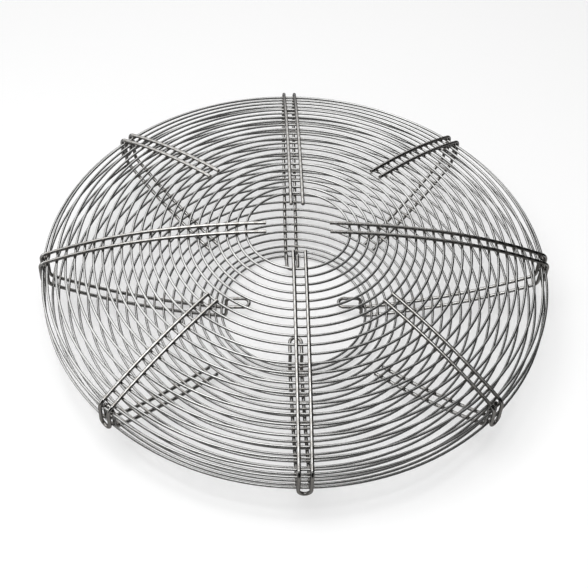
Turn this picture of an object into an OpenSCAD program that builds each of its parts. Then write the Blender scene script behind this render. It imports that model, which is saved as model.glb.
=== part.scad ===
// Wire fan guard: a cage of round wire. Two domes of concentric rings are
// welded to hairpin spokes, which hook over the rim and end in mounting eyes.
// Millimetres. The fan's axis is Z, +Z is the front, and z = 0 is the lowest
// wire of the rear dome. Heights below are counted from the cage's mid plane.

/* [Wire] */
// Diameter of the ring wires
ring_wire = 2.5; // [2.2:0.1:2.8]
// Diameter of the spoke wires
spoke_wire = 3.5; // [3.2:0.1:3.8]
// Spacing of the two legs of a hairpin, centre to centre
hairpin_gap = 11.6; // [10.8:0.2:12.4]
// How deep a resistance weld presses a ring into a spoke
weld_depth = 0.15; // [0.1:0.05:0.3]

/* [Rim] */
// Centre-line radius of the two rim rings
rim_r = 250; // [246:1:253]
// Centre-line radius of the bend that takes a spoke over the rim
rim_bend_r = 8; // [7.5:0.5:8.5]

/* [Front dome] */
// Height of the middle of the dome
front_apex = 61.1; // [60:0.1:63]
// Radius of curvature of the dome's flat crown
crown_r = 790.5; // [785:0.5:800]
// Radius of curvature of the dome's steeper shoulder
shoulder_r = 495.7; // [490:0.1:505]
// Distance from the axis at which the crown turns into the shoulder
shoulder_start = 125; // [118:1:140]
// Number of rings inside the rim
front_rings = 22; // [16:1:22]
// Radius of the innermost ring
front_first_r = 50.5; // [48:0.5:54]
// Distance from the axis at which the long spokes are cut off
long_cut_r = 31.3; // [28:0.1:40]
// Distance from the axis at which the short spokes are cut off
short_cut_r = 115.5; // [112:0.1:117]

/* [Rear dome] */
// Depth of the middle of the dome
rear_apex = 66; // [65:0.1:68]
// Radius of curvature of the dome
rear_dome_r = 577.2; // [574:0.1:582]
// Number of evenly spaced rings
rear_rings = 17; // [12:1:17]
// Radius of the first evenly spaced ring
rear_first_r = 87.8; // [87:0.1:90]
// Radii of the two close rings that stiffen the root of the eyes
root_ring_r = [75, 81.4]; // [70:0.1:84]
// Distance from the axis at which the short rear spokes are cut off
rear_cut_r = 117; // [112:0.1:119]

/* [Mounting eyes] */
// Distance from the axis to the centre of an eye's round end
eye_r = 52.1; // [50:0.1:55]
// Height of an eye above the spoke that carries it
eye_step = 13.5; // [12:0.1:15]
// Centre-line radius of the two bends of the step
eye_bend_r = 5; // [4.5:0.1:5.5]

/* [Hidden] */
spoke_count = 4;         // of each of the four kinds
ring_facets = 120;       // around a ring
curve_facets = 240;      // around the full circle of a dome's arc
bend_facets = 48;        // around the full circle of a bend
wire_facets = 20;        // around a wire
ball_swell = 0.1;        // extra width of the ball that closes a joint in a wire

// A ring's centre lies this far from the centre line of the spoke it is welded to
weld_offset = (ring_wire + spoke_wire) / 2 - weld_depth;

// Each leg stands beside the rim rings, outside them in front and inside at the rear
front_leg_r = sqrt(pow(rim_r + weld_offset, 2) - pow(hairpin_gap / 2, 2));
rear_leg_r = sqrt(pow(rim_r - weld_offset, 2) - pow(hairpin_gap / 2, 2));

// Circles in the plane of a spoke are [distance from the axis, height, radius].
// The crown's circle and the shoulder's share a tangent where they meet.
shoulder_slope = asin(shoulder_start / crown_r);
crown = [0, front_apex - crown_r, crown_r];
shoulder = [
    (crown_r - shoulder_r) * sin(shoulder_slope),
    crown[1] + (crown_r - shoulder_r) * cos(shoulder_slope),
    shoulder_r
];
rear_dome = [0, rear_dome_r - rear_apex, rear_dome_r];

// A spoke's circle is the dome's own, larger by the offset of the weld
function spoke_circle(dome) = [dome[0], dome[1], dome[2] + weld_offset];

// A bend that touches a spoke's circle from inside, at a given distance from the
// axis. It lies above the circle's centre for side 1 and below it for side -1.
function bend_circle(dome, r, bend_r, side) =
    let (reach = dome[2] + weld_offset - bend_r)
    [r, dome[1] + side * sqrt(pow(reach, 2) - pow(r - dome[0], 2)), bend_r];

// The angle of a circle's point that lies at a given distance from the axis
function angle_at(circle, r) = acos((r - circle[0]) / circle[2]);

// The angle at which a bend meets the spoke's circle
function meeting_angle(dome, bend) =
    acos((bend[0] - dome[0]) / (dome[2] + weld_offset - bend[2]));

front_bend = bend_circle(shoulder, front_leg_r - rim_bend_r, rim_bend_r, 1);
rear_bend = bend_circle(rear_dome, rear_leg_r - rim_bend_r, rim_bend_r, -1);
eye_bend = bend_circle(rear_dome, root_ring_r[0], eye_bend_r, -1);

// Heights along the rim
front_rim_z = front_bend[1] + 1;
rear_rim_z = rear_bend[1] + 3;
rear_leg_top = front_rim_z + 2.6;
arch_top = front_rim_z + 1.6;

// The eyes' height, and the corner where their wires turn level
eye_z = eye_bend[1] - eye_bend_r + eye_step;
eye_corner_r = root_ring_r[0] - 2 * eye_bend_r;

// Lifts the mid plane so that the lowest wire rests on z = 0
mid_height = eye_bend_r + spoke_wire / 2 - eye_bend[1];

// Heights of a ring of radius r on each dome
function dome_rise(circle, r) = sqrt(pow(circle[2], 2) - pow(r - circle[0], 2));
function front_height(r) =
    r < shoulder_start ? crown[1] + dome_rise(crown, r) : shoulder[1] + dome_rise(shoulder, r);
function rear_height(r) = rear_dome[1] - dome_rise(rear_dome, r);

// Each ring as [radius, height]. The last rear ring nests inside the rim bend.
front_last_r = rim_r - 4.8;
rear_last_r = rim_r - 13.1;
nested_r = rear_bend[0] + 3.5;
nest = [rear_bend[0], rear_bend[1], rim_bend_r - weld_offset];
function spread(first, last, count, k) = first + (last - first) * k / (count - 1);
front_ring_list = [
    for (k = [0:front_rings - 1])
    let (r = spread(front_first_r, front_last_r, front_rings, k))
    [r, front_height(r)]
];
rear_ring_list = concat(
    [for (r = root_ring_r) [r, rear_height(r)]],
    [
        for (k = [0:rear_rings - 1])
        let (r = spread(rear_first_r, rear_last_r, rear_rings, k))
        [r, rear_height(r)]
    ],
    [[nested_r, nest[1] - dome_rise(nest, nested_r)]]
);

function numbered(name, count) = [for (k = [1:count]) str(name, "_", k)];

steel = [0.78, 0.79, 0.8];

// A full ring of wire
module ring(radius, height) {
    color(steel)
    translate([0, 0, mid_height + height])
    rotate_extrude($fn = ring_facets)
    translate([radius, 0])
    circle(d = ring_wire, $fn = wire_facets);
}

// An arc of spoke wire about the Z axis, between two angles
module wire_arc(radius, from, to, facets = bend_facets) {
    rotate_extrude(angle = to - from, start = from, $fn = facets)
    translate([radius, 0])
    circle(d = spoke_wire, $fn = wire_facets);
}

// An arc of spoke wire along a circle that stands in the plane of the spoke
module upright_arc(circle, from, to, facets = bend_facets) {
    translate([circle[0], 0, circle[1]])
    rotate([90, 0, 0])
    wire_arc(circle[2], from, to, facets);
}

// An arc of spoke wire along a dome
module dome_arc(dome, from, to) {
    upright_arc(spoke_circle(dome), from, to, curve_facets);
}

// A standing length of spoke wire
module post(radius, bottom, top) {
    translate([radius, 0, bottom])
    cylinder(d = spoke_wire, h = top - bottom, $fn = wire_facets);
}

// Two lengths of spoke wire join in a ball, a hair wider so that it overlaps both.
// Its poles point along the wire: tilt is the wire's lean from upright.
module joint(radius, height, tilt = 0) {
    translate([radius, 0, height])
    rotate([0, -tilt, 0])
    sphere(d = spoke_wire + ball_swell, $fn = wire_facets);
}

// A joint at a given angle of a circle that stands in the plane of the spoke
module joint_at(circle, angle) {
    joint(circle[0] + circle[2] * cos(angle), circle[1] + circle[2] * sin(angle), angle);
}

// The half turn that joins the two legs at the rim: start 180 for one that hangs
// below the legs and 0 for an arch above them
module rim_turn(radius, height, start) {
    translate([radius, 0, height])
    rotate([90, 0, 90])
    wire_arc(hairpin_gap / 2, start, start + 180);
}

// Both legs of a hairpin
module legs() {
    for (side = [-1, 1])
        translate([0, side * hairpin_gap / 2, 0])
        children();
}

// Puts a spoke at its clock position, a number of eighths of a turn from +X
module at_eighth(eighth) {
    color(steel)
    translate([0, 0, mid_height])
    rotate([0, 0, 45 * eighth])
    children();
}

// A front spoke: from its cut ends over crown and shoulder, round the rim and
// down outside both rim rings, where a half turn closes it
module front_hairpin(cut_r) {
    cut_angle = angle_at(spoke_circle(crown), cut_r);
    rim_angle = meeting_angle(shoulder, front_bend);
    legs() {
        dome_arc(crown, 90 - shoulder_slope, cut_angle);
        dome_arc(shoulder, rim_angle, 90 - shoulder_slope);
        upright_arc(front_bend, 0, rim_angle);
        post(front_leg_r, rear_rim_z, front_bend[1]);
        joint_at(spoke_circle(shoulder), 90 - shoulder_slope);
        joint_at(front_bend, rim_angle);
        joint_at(front_bend, 0);
        joint(front_leg_r, rear_rim_z);
    }
    rim_turn(front_leg_r, rear_rim_z, 180);
}

// The part of a rear spoke that every one has: the dome's arc from an inner
// angle to the rim, and the bend that turns it up inside the rim rings
module rear_run(inner_angle) {
    rim_angle = -meeting_angle(rear_dome, rear_bend);
    dome_arc(rear_dome, inner_angle, rim_angle);
    upright_arc(rear_bend, rim_angle, 0);
    joint_at(rear_bend, rim_angle);
    joint_at(rear_bend, 0);
}

// One wire of the step that lifts an eye: up, over and level towards the axis
module eye_step_wire() {
    corner = [eye_corner_r, eye_z - eye_bend_r, eye_bend_r];
    spoke_angle = -meeting_angle(rear_dome, eye_bend);
    upright_arc(eye_bend, -180, spoke_angle);
    post(eye_corner_r + eye_bend_r, eye_bend[1], corner[1]);
    upright_arc(corner, 0, 90);
    translate([eye_r, 0, eye_z])
    rotate([0, 90, 0])
    cylinder(d = spoke_wire, h = eye_corner_r - eye_r, $fn = wire_facets);
    joint_at(eye_bend, spoke_angle);
    joint_at(eye_bend, 180);
    joint_at(corner, 0);
    joint_at(corner, 90);
    joint(eye_r, eye_z, 90);
}

// A long rear spoke: cut ends under the front wires at the rim, and a mounting
// eye at the inner end
module rear_eye_hairpin() {
    legs() {
        rear_run(-meeting_angle(rear_dome, eye_bend));
        post(rear_leg_r, rear_bend[1], rear_leg_top);
        eye_step_wire();
    }
    translate([eye_r, 0, eye_z])
    wire_arc(hairpin_gap / 2, 90, 270);
}

// A short rear spoke: closed by an arch at the rim, with cut inner ends
module rear_short_hairpin() {
    arch_height = arch_top - hairpin_gap / 2;
    legs() {
        rear_run(-angle_at(spoke_circle(rear_dome), rear_cut_r));
        post(rear_leg_r, rear_bend[1], arch_height);
        joint(rear_leg_r, arch_height);
    }
    rim_turn(rear_leg_r, arch_height, 0);
}

for (k = [1:len(front_ring_list)])
    ring(front_ring_list[k - 1][0], front_ring_list[k - 1][1]);
ring(rim_r, front_rim_z);  // front_rim_ring
for (k = [1:len(rear_ring_list)])
    ring(rear_ring_list[k - 1][0], rear_ring_list[k - 1][1]);
ring(rim_r, rear_rim_z);  // rear_rim_ring
for (k = [1:spoke_count]) {
    at_eighth(2 * k - 2) front_hairpin(long_cut_r);
    at_eighth(2 * k - 1) front_hairpin(short_cut_r);
    at_eighth(2 * k - 2) rear_eye_hairpin();
    at_eighth(2 * k - 1) rear_short_hairpin();
}
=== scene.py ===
"""A domed wire fan guard: bright drawn wire, resistance-welded where rings cross spokes."""

import math
import random

import bmesh
import bpy
from mathutils import Matrix, Vector


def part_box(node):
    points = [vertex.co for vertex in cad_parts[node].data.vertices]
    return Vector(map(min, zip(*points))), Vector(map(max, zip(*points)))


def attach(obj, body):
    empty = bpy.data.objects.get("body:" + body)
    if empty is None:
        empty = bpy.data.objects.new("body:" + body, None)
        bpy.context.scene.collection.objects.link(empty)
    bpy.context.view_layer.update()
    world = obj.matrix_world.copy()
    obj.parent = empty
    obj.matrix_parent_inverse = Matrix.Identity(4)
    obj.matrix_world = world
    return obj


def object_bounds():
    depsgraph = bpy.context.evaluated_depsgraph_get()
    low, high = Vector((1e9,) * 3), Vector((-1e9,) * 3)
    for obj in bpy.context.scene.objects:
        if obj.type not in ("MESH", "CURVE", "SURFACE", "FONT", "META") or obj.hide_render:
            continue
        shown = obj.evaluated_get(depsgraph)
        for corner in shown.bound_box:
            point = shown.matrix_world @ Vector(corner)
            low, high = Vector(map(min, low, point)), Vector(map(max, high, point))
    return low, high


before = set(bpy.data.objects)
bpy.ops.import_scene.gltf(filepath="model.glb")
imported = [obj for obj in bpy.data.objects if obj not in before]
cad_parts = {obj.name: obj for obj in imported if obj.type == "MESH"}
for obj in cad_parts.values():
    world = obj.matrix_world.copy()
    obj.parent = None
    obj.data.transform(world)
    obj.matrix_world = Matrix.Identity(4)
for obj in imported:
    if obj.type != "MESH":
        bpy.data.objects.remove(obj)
cad_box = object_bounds()

MM = 0.001
EIGHTH = math.radians(45)       # the step between two spokes
SPOKE_R = 1.75 * MM             # radius of the spoke wire
HALF_GAP = 5.8 * MM             # from the middle of a hairpin to either of its legs
WELD_DEPTH = 0.15 * MM          # how deep a ring is pressed into a spoke
RIM_BEND_R = 8 * MM             # centre-line radius of the bend over the rim
NEST_STEP = 3.5 * MM            # how far outwards the ring nested in that bend sits from it
SHORT_SPOKES_FROM = 116 * MM    # distance from the axis at which the short spokes begin
HAIRPINS_OF_A_KIND = 4


# ------------------------------------------------------------ sizes read from the frame
def ring_facts(name):
    """(centre-line radius, height of the centre line) of a ring."""
    low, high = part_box(name)
    return (high[0] - low[0] - high[2] + low[2]) / 2, (low[2] + high[2]) / 2


def dome_rings(prefix):
    """The numbered rings of one dome, from the axis outwards."""
    names = [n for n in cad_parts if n.startswith(prefix) and n[len(prefix):].isdigit()]
    return [ring_facts(n) for n in sorted(names, key=lambda n: int(n[len(prefix):]))]


def spoke_box(name, eighth):
    """(lowest, highest corner) of a hairpin in its own axes: outwards, sideways, up."""
    turn = Matrix.Rotation(-eighth * EIGHTH, 3, "Z")
    points = [turn @ v.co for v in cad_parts[name].data.vertices]
    return tuple(Vector(pick(p[k] for p in points) for k in range(3)) for pick in (min, max))


front_rings = dome_rings("front_ring_")
rear_rings = dome_rings("rear_ring_")
rim_r, front_rim_z = ring_facts("front_rim_ring")
rear_rim_z = ring_facts("rear_rim_ring")[1]
rim_low, rim_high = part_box("front_rim_ring")
ring_wire_r = (rim_high[2] - rim_low[2]) / 2
long_low, long_high = spoke_box("front_long_hairpin_1", 0)
short_low = spoke_box("front_short_hairpin_1", 1)[0]
eye_high = spoke_box("rear_eye_hairpin_1", 0)[1]
arch_low, arch_high = spoke_box("rear_short_hairpin_1", 1)
weld_offset = ring_wire_r + SPOKE_R - WELD_DEPTH


# ------------------------------------------------------------ materials
class Nodes:
    """Short calls for building a node tree."""

    def __init__(self, tree):
        self.tree = tree
        tree.nodes.clear()

    def add(self, kind, **settings):
        node = self.tree.nodes.new(kind)
        for key, value in settings.items():
            setattr(node, key, value)
        return node

    def link(self, source, target):
        self.tree.links.new(source, target)

    def put(self, value, socket):
        if isinstance(value, bpy.types.NodeSocket):
            self.link(value, socket)
        else:
            socket.default_value = value

    def math(self, operation, *values, clamp=False):
        node = self.add("ShaderNodeMath", operation=operation, use_clamp=clamp)
        for value, socket in zip(values, node.inputs):
            self.put(value, socket)
        return node.outputs[0]

    def combine(self, x, y, z):
        node = self.add("ShaderNodeCombineXYZ")
        for value, socket in zip((x, y, z), node.inputs):
            self.put(value, socket)
        return node.outputs[0]

    def noise(self, vector, scale, detail=4.0, roughness=0.6):
        node = self.add("ShaderNodeTexNoise")
        self.put(vector, node.inputs["Vector"])
        for name, value in (("Scale", scale), ("Detail", detail), ("Roughness", roughness)):
            node.inputs[name].default_value = value
        return node.outputs["Fac"]

    def span(self, value, from_low, from_high, to_low, to_high):
        node = self.add("ShaderNodeMapRange")
        for given, name in (
            (value, "Value"),
            (from_low, "From Min"),
            (from_high, "From Max"),
            (to_low, "To Min"),
            (to_high, "To Max"),
        ):
            self.put(given, node.inputs[name])
        return node.outputs[0]

    def mix(self, factor, first, second):
        node = self.add("ShaderNodeMix", data_type="RGBA")
        self.put(factor, node.inputs["Factor"])
        self.put(first, node.inputs[6])
        self.put(second, node.inputs[7])
        return node.outputs[2]


def new_material(name):
    material = bpy.data.materials.new(name)
    material.use_nodes = True
    return material, Nodes(material.node_tree)


def polar(nodes):
    """(distance from the axis, angle, height, object coordinates) sockets of a point."""
    place = nodes.add("ShaderNodeTexCoord").outputs["Object"]
    split = nodes.add("ShaderNodeSeparateXYZ")
    nodes.link(place, split.inputs[0])
    x, y, z = split.outputs
    squares = nodes.math("ADD", nodes.math("POWER", x, 2.0), nodes.math("POWER", y, 2.0))
    return nodes.math("SQRT", squares), nodes.math("ARCTAN2", y, x), z, place


def beside_spoke(nodes, radius, angle, step):
    """How far a point lies sideways from the nearest spoke, for spokes at that step."""
    nearest = nodes.math("MULTIPLY", nodes.math("ROUND", nodes.math("DIVIDE", angle, step)), step)
    away = nodes.math("SUBTRACT", angle, nearest)
    return nodes.math("MULTIPLY", radius, nodes.math("SINE", away))


TINT_FULL, TINT_GONE = 1.2 * MM, 5 * MM    # how far a weld's heat tint reaches, sideways


def near_weld(nodes, sideways):
    """1 where a leg of a spoke crosses and 0 from a few millimetres away."""
    gap = nodes.math("ABSOLUTE", nodes.math("SUBTRACT", nodes.math("ABSOLUTE", sideways), HALF_GAP))
    return nodes.span(gap, TINT_FULL, TINT_GONE, 1.0, 0.0)


PATCH_SCALE, SPECK_SCALE = 26.0, 900.0      # of the noise, to a metre
WORN_SHADE = 0.80                           # brightness of the darker steel in streaks
EDGE_SHADE = (0.35, 0.35, 0.36, 1)          # how dark the metal turns at a grazing angle
STREAK_DEPTH = 0.05 * MM


def steel(name, colour, tint, weld_mask, streaks, roughness):
    """Bright drawn steel: streaks along the wire, soft patches, and a dull tint at the welds.

    weld_mask and streaks are functions of (nodes, radius, angle, height) that give a mask
    and the coordinates in which the drawing streaks are drawn out."""
    material, nodes = new_material(name)
    radius, angle, height, place = polar(nodes)
    mask = weld_mask(nodes, radius, angle, height)
    patches = nodes.noise(place, PATCH_SCALE, 3.0)
    specks = nodes.noise(place, SPECK_SCALE, 2.0)
    lines = nodes.noise(streaks(nodes, radius, angle, height), 1.0, 3.0, 0.7)
    dark = tuple(c * WORN_SHADE for c in colour[:3]) + (1,)
    drawn = nodes.mix(nodes.span(lines, 0.35, 0.65, 0.0, 0.45), colour, dark)
    patchy = nodes.mix(nodes.span(patches, 0.42, 0.62, 0.0, 0.5), drawn, dark)
    heated = nodes.mix(nodes.math("MULTIPLY", mask, 0.55), patchy, tint)
    shader = nodes.add("ShaderNodeBsdfPrincipled")
    nodes.link(heated, shader.inputs["Base Color"])
    shader.inputs["Metallic"].default_value = 1.0
    shader.inputs["Specular Tint"].default_value = EDGE_SHADE
    rough = nodes.math(
        "ADD",
        nodes.span(lines, 0.3, 0.7, roughness, roughness + 0.10),
        nodes.math("MULTIPLY", mask, 0.14),
    )
    speckled = nodes.math("ADD", rough, nodes.span(specks, 0.55, 0.8, 0.0, 0.12))
    nodes.link(speckled, shader.inputs["Roughness"])
    bump = nodes.add("ShaderNodeBump")
    bump.inputs["Strength"].default_value = 0.22
    bump.inputs["Distance"].default_value = STREAK_DEPTH
    nodes.link(lines, bump.inputs["Height"])
    nodes.link(bump.outputs[0], shader.inputs["Normal"])
    output = nodes.add("ShaderNodeOutputMaterial")
    nodes.link(shader.outputs[0], output.inputs[0])
    return material


def ring_welds(nodes, radius, angle, height):
    """Rings are welded to the long spokes everywhere, and to the short ones outside them."""
    long_mask = near_weld(nodes, beside_spoke(nodes, radius, angle, 2 * EIGHTH))
    every_mask = near_weld(nodes, beside_spoke(nodes, radius, angle, EIGHTH))
    outside = nodes.math("GREATER_THAN", radius, SHORT_SPOKES_FROM)
    return nodes.math("MAXIMUM", long_mask, nodes.math("MULTIPLY", every_mask, outside))


DRAWN_SCALE = 5200.0        # streaks of the drawing die to a metre, across the wire
STREAK_REACH = 120          # how many times longer than wide they are on a spoke
CUT_SCALE = 2600.0          # streaks to a metre on a cut face


def ring_streaks(nodes, radius, angle, height):
    """Fine across the wire and far longer round the ring, told by the angle alone."""
    along = nodes.math("MULTIPLY", angle, DRAWN_SCALE / 1000)
    return nodes.combine(
        nodes.math("MULTIPLY", radius, DRAWN_SCALE),
        nodes.math("MULTIPLY", height, DRAWN_SCALE),
        along,
    )


def spoke_welds(nodes, radius, angle, height):
    """Spokes are welded at the pitch of the rings."""
    pitch = (front_rings[-1][0] - front_rings[0][0]) / (len(front_rings) - 1)
    turns = nodes.math("DIVIDE", nodes.math("SUBTRACT", radius, front_rings[0][0]), pitch)
    off = nodes.math("ABSOLUTE", nodes.math("SUBTRACT", turns, nodes.math("ROUND", turns)))
    return nodes.span(off, 0.10, 0.40, 1.0, 0.0)


def spoke_streaks(nodes, radius, angle, height):
    """Fine across the wire and far longer along it, outwards and up."""
    side = beside_spoke(nodes, radius, angle, EIGHTH)
    return nodes.combine(
        nodes.math("MULTIPLY", side, DRAWN_SCALE),
        nodes.math("MULTIPLY", radius, DRAWN_SCALE / STREAK_REACH),
        nodes.math("MULTIPLY", height, DRAWN_SCALE / STREAK_REACH),
    )


def even(nodes, radius, angle, height):
    """The whole of a weld or a cut face is tinted alike."""
    return nodes.span(radius, 0.0, 1.0, 0.8, 0.8)


def grain(nodes, radius, angle, height):
    """Streaks of a cut face: fine, and the same in every direction."""
    return nodes.combine(
        nodes.math("MULTIPLY", radius, CUT_SCALE),
        nodes.math("MULTIPLY", angle, CUT_SCALE / 5),
        nodes.math("MULTIPLY", height, CUT_SCALE),
    )


RING_GREY = (0.19, 0.19, 0.187, 1)
SPOKE_GREY = (0.21, 0.208, 0.203, 1)
WELD_TINT = (0.14, 0.13, 0.118, 1)
CUT_GREY = (0.16, 0.157, 0.153, 1)
ring_steel = steel("ring_steel", RING_GREY, WELD_TINT, ring_welds, ring_streaks, 0.12)
spoke_steel = steel("spoke_steel", SPOKE_GREY, WELD_TINT, spoke_welds, spoke_streaks, 0.13)
weld_steel = steel("weld_steel", SPOKE_GREY, WELD_TINT, even, grain, 0.34)
cut_steel = steel("cut_steel", CUT_GREY, WELD_TINT, even, grain, 0.42)

for name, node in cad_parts.items():
    finish = spoke_steel if "hairpin" in name else ring_steel
    node.data.materials.clear()
    node.data.materials.append(finish)


# ------------------------------------------------------------ welds and cut ends
def add_piece(name, mesh_builder, material):
    """A mesh piece that is fixed to the guard."""
    mesh = bpy.data.meshes.new(name)
    shape = bmesh.new()
    mesh_builder(shape)
    for face in shape.faces:
        face.smooth = True
    shape.to_mesh(mesh)
    shape.free()
    mesh.materials.append(material)
    piece = bpy.data.objects.new(name, mesh)
    bpy.context.scene.collection.objects.link(piece)
    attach(piece, "root")


def dome_normals(rings, side):
    """The direction from each ring's centre to the spoke's, as (outwards, up)."""
    normals = []
    for k in range(len(rings)):
        inner, outer = rings[max(k - 1, 0)], rings[min(k + 1, len(rings) - 1)]
        along = Vector((outer[0] - inner[0], outer[1] - inner[1])).normalized()
        normals.append(Vector((-along[1], along[0])) * side)
    return normals


def dome_welds(rings, normals, start):
    """Each weld of a spoke to a dome's rings as (distance from the axis, height, normal)."""
    return [(r, z, n) for (r, z), n in zip(rings, normals) if r > start]


BEAD_R = (1.45 * MM, 1.5 * MM, 0.62 * MM)   # half a bead: its two widths and its height
BEAD_ROUGH = 0.03                           # millimetres that its skin is off, at most


def add_nugget(shape, spoke, outwards, sideways, up, normal, rng):
    """One weld: a flat bead between ring and spoke, squeezed a little past the contact."""
    reach = ring_wire_r - WELD_DEPTH / 2
    axis = Vector((normal[0], 0, normal[1]))
    centre = Vector((outwards, sideways, up)) + axis * reach
    flat = axis.to_track_quat("Z", "Y").to_matrix().to_4x4()
    sizes = [rng.uniform(0.94, 1.08) for _ in range(3)]
    scale = Matrix.Diagonal((*(r * size for r, size in zip(BEAD_R, sizes)), 1))
    bead = bmesh.ops.create_icosphere(
        shape, subdivisions=2, radius=1.0, matrix=spoke @ Matrix.Translation(centre) @ flat @ scale
    )
    for vertex in bead["verts"]:
        vertex.co += Vector(rng.uniform(-BEAD_ROUGH, BEAD_ROUGH) * MM for _ in range(3))


def side_on_ring(radius, sideways):
    """How far out a ring is at a given distance to the side."""
    return math.sqrt(radius**2 - sideways**2)


def add_welds(name, eighth, welds, rim, arch_z=None):
    """All the welds of one hairpin. rim is the side of the rim rings that it passes."""
    rng = random.Random(name)
    spoke = Matrix.Rotation(eighth * EIGHTH, 4, "Z")

    def build(shape):
        for side in (-HALF_GAP, HALF_GAP):
            for radius, height, normal in welds:
                out = side_on_ring(radius, side)
                add_nugget(shape, spoke, out, side, height, normal, rng)
            for height in (front_rim_z, rear_rim_z):
                across = side
                if arch_z is not None and height > arch_z:
                    across = math.copysign(side_on_ring(HALF_GAP, height - arch_z), side)
                out = side_on_ring(rim_r, across)
                add_nugget(shape, spoke, out, across, height, Vector((rim, 0)), rng)

    add_piece(name, build, weld_steel)


def add_cut_ends(name, eighth, outwards, up, lean):
    """The two sheared ends of a hairpin. lean is the wire's direction from level, upwards."""
    spoke = Matrix.Rotation(eighth * EIGHTH, 4, "Z")
    # (distance from the wire's axis, height over the cut), in radii of the wire
    profile = [(1.0, -0.10), (1.0, 0.0), (0.955, 0.09), (0.86, 0.15), (0.55, 0.155), (0.0, 0.14)]
    sides = 24

    def build(shape):
        for side in (-HALF_GAP, HALF_GAP):
            place = (
                spoke
                @ Matrix.Translation((outwards, side, up))
                @ Matrix.Rotation(-lean, 4, "Y")
                @ Matrix.Rotation(math.pi / 2, 4, "Y")
            )
            rings = []
            for share, rise in profile[:-1]:
                ring = []
                for k in range(sides):
                    turn = 2 * math.pi * k / sides
                    point = Vector((share * math.cos(turn), share * math.sin(turn), 0)) * SPOKE_R
                    point.z = rise * SPOKE_R
                    ring.append(shape.verts.new(place @ point))
                rings.append(ring)
            tip = shape.verts.new(place @ Vector((0, 0, profile[-1][1] * SPOKE_R)))
            for inner, outer in zip(rings, rings[1:]):
                for k in range(sides):
                    n = (k + 1) % sides
                    shape.faces.new((inner[k], inner[n], outer[n], outer[k]))
            for k in range(sides):
                shape.faces.new((rings[-1][k], rings[-1][(k + 1) % sides], tip))
            shape.faces.new(list(reversed(rings[0])))

    add_piece(name, build, cut_steel)


front_normals = dome_normals(front_rings, 1)
rear_normals = dome_normals(rear_rings, -1)
nest_r = RIM_BEND_R - weld_offset
rear_normals[-1] = Vector((NEST_STEP, -math.sqrt(nest_r**2 - NEST_STEP**2))).normalized()
arch_z = arch_high[2] - SPOKE_R - HALF_GAP

for k in range(HAIRPINS_OF_A_KIND):
    across, slanted = 2 * k, 2 * k + 1
    add_welds(
        f"welds_front_long_{k + 1}", across, dome_welds(front_rings, front_normals, 0), 1
    )
    add_welds(
        f"welds_front_short_{k + 1}",
        slanted,
        dome_welds(front_rings, front_normals, short_low[0]),
        1,
    )
    add_welds(
        f"welds_rear_eye_{k + 1}", across, dome_welds(rear_rings, rear_normals, 0), -1
    )
    add_welds(
        f"welds_rear_short_{k + 1}",
        slanted,
        dome_welds(rear_rings, rear_normals, arch_low[0]),
        -1,
        arch_z,
    )
    add_cut_ends(
        f"cut_ends_front_long_{k + 1}", across, long_low[0], long_high[2] - SPOKE_R, math.pi
    )
    add_cut_ends(
        f"cut_ends_rear_eye_{k + 1}", across, rim_r - weld_offset, eye_high[2], math.pi / 2
    )


# ------------------------------------------------------------ floor, light and camera
def seen_directly(nodes):
    """1 for rays from the camera, off metal or through glass, and 0 for light on surfaces."""
    path = nodes.add("ShaderNodeLightPath")
    seen = nodes.math("MAXIMUM", path.outputs["Is Camera Ray"], path.outputs["Is Glossy Ray"])
    return nodes.math("MAXIMUM", seen, path.outputs["Is Transmission Ray"])


FLOOR_SIZE, FLOOR_GAP = 14, 0.2 * MM
FLOOR_GLOW = 0.45           # share of plain white in what is seen of the floor
SKY_LIGHT, SKY_SEEN = 0.5, 1.0
FLAG_DISTANCE = 1.5


def make_floor():
    """A wide white floor under the guard, which keeps the guard's shadow."""
    place = (0, 0, cad_box[0][2] - FLOOR_GAP)
    bpy.ops.mesh.primitive_plane_add(size=FLOOR_SIZE, location=place)
    floor = bpy.context.object
    floor.name = "floor"
    material, nodes = new_material("floor_white")
    paint = nodes.add("ShaderNodeBsdfDiffuse")
    paint.inputs["Color"].default_value = (0.95, 0.95, 0.95, 1)
    glow = nodes.add("ShaderNodeEmission")
    glow.inputs["Color"].default_value = (1, 1, 1, 1)
    blend = nodes.add("ShaderNodeMixShader")
    nodes.link(nodes.math("MULTIPLY", seen_directly(nodes), FLOOR_GLOW), blend.inputs[0])
    nodes.link(paint.outputs[0], blend.inputs[1])
    nodes.link(glow.outputs[0], blend.inputs[2])
    output = nodes.add("ShaderNodeOutputMaterial")
    nodes.link(blend.outputs[0], output.inputs[0])
    floor.data.materials.append(material)


def add_flag(name, start, end, height):
    """A curved black card, seen only in the metal. start and end are degrees from +X."""
    steps = 24
    foot_z = 10 * MM
    mesh = bpy.data.meshes.new(name)
    points, faces = [], []
    for k in range(steps + 1):
        angle = math.radians(start + (end - start) * k / steps)
        foot = (FLAG_DISTANCE * math.cos(angle), FLAG_DISTANCE * math.sin(angle))
        points += [(*foot, foot_z), (*foot, height)]
    for k in range(steps):
        faces.append((2 * k, 2 * k + 2, 2 * k + 3, 2 * k + 1))
    mesh.from_pydata(points, [], faces)
    flag = bpy.data.objects.new(name, mesh)
    bpy.context.scene.collection.objects.link(flag)
    material, nodes = new_material(name + "_cloth")
    cloth = nodes.add("ShaderNodeBsdfDiffuse")
    cloth.inputs["Color"].default_value = (0.02, 0.02, 0.02, 1)
    output = nodes.add("ShaderNodeOutputMaterial")
    nodes.link(cloth.outputs[0], output.inputs[0])
    mesh.materials.append(material)
    flag.visible_camera = flag.visible_diffuse = flag.visible_shadow = False


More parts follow.
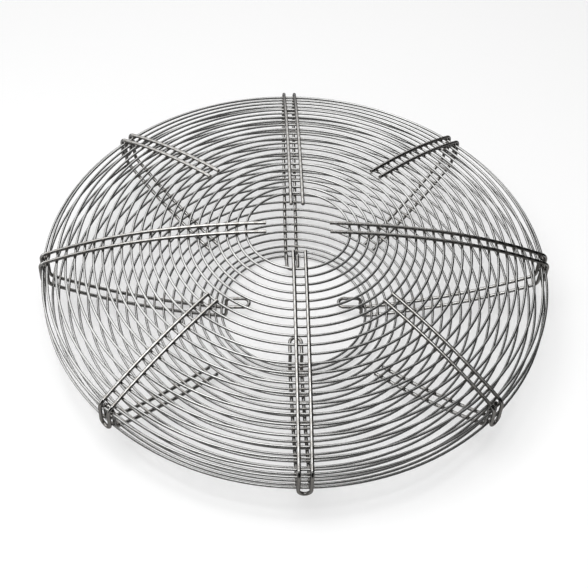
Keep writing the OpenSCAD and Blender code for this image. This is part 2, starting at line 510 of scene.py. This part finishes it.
def make_world():
    """Even white light: half strength on surfaces, and white where it is seen."""
    world = bpy.data.worlds.new("studio")
    bpy.context.scene.world = world
    world.use_nodes = True
    nodes = Nodes(world.node_tree)
    sky = nodes.add("ShaderNodeBackground")
    sky.inputs["Color"].default_value = (1, 1, 1, 1)
    strength = nodes.span(seen_directly(nodes), 0.0, 1.0, SKY_LIGHT, SKY_SEEN)
    nodes.link(strength, sky.inputs["Strength"])
    output = nodes.add("ShaderNodeOutputWorld")
    nodes.link(sky.outputs[0], output.inputs[0])


def add_softbox(name, place, target, width, height, power, lit=True):
    """A square of light turned to target. With lit off it is only mirrored in the metal."""
    light = bpy.data.lights.new(name, "AREA")
    light.shape = "RECTANGLE"
    light.size, light.size_y, light.energy = width, height, power
    lamp = bpy.data.objects.new(name, light)
    bpy.context.scene.collection.objects.link(lamp)
    lamp.location = place
    lamp.visible_diffuse = lit
    lamp.rotation_euler = (Vector(target) - Vector(place)).to_track_quat("-Z", "Y").to_euler()


def make_camera():
    """The picture's view: from the front, 49 degrees above the floor, with a small roll."""
    distance, lens, sensor = 1.2879, 76.788, 36
    elevation, azimuth, roll = (math.radians(angle) for angle in (49.45, 4.3, 3.24))
    target = Vector((0, 0, 30.2 * MM))
    aim_shift = Vector((-0.4 * MM, 0, -0.85 * MM))
    back = Vector((
        -math.sin(azimuth) * math.cos(elevation),
        -math.cos(azimuth) * math.cos(elevation),
        math.sin(elevation),
    ))
    camera = bpy.data.objects.new("camera", bpy.data.cameras.new("camera"))
    bpy.context.scene.collection.objects.link(camera)
    camera.location = target + back * distance
    look = (target + aim_shift - camera.location).to_track_quat("-Z", "Y")
    camera.matrix_world = (
        Matrix.Translation(camera.location)
        @ look.to_matrix().to_4x4()
        @ Matrix.Rotation(roll, 4, "Z")
    )
    camera.data.sensor_width = sensor
    camera.data.lens = lens
    bpy.context.scene.camera = camera


make_floor()
make_world()
guard_centre = (0, 0, 60 * MM)
add_softbox("key", (-0.25, -0.35, 1.35), guard_centre, 0.9, 0.8, 16.0)
add_softbox("card_above", (-0.45, 0.5, 1.25), guard_centre, 1.3, 1.0, 20.0, lit=False)
add_softbox("card_far", (-0.5, 1.7, 0.75), (-0.4, 0, 0.3), 3.0, 1.4, 34.0, lit=False)
add_softbox("card_left", (-1.7, 0.2, 0.7), (0, 0, 0.3), 1.6, 1.2, 20.0, lit=False)
add_flag("flag_near", start=205, end=335, height=2.3)
add_flag("flag_right", start=-25, end=60, height=2.0)
make_camera()
bpy.context.scene.view_settings.view_transform = "Standard"
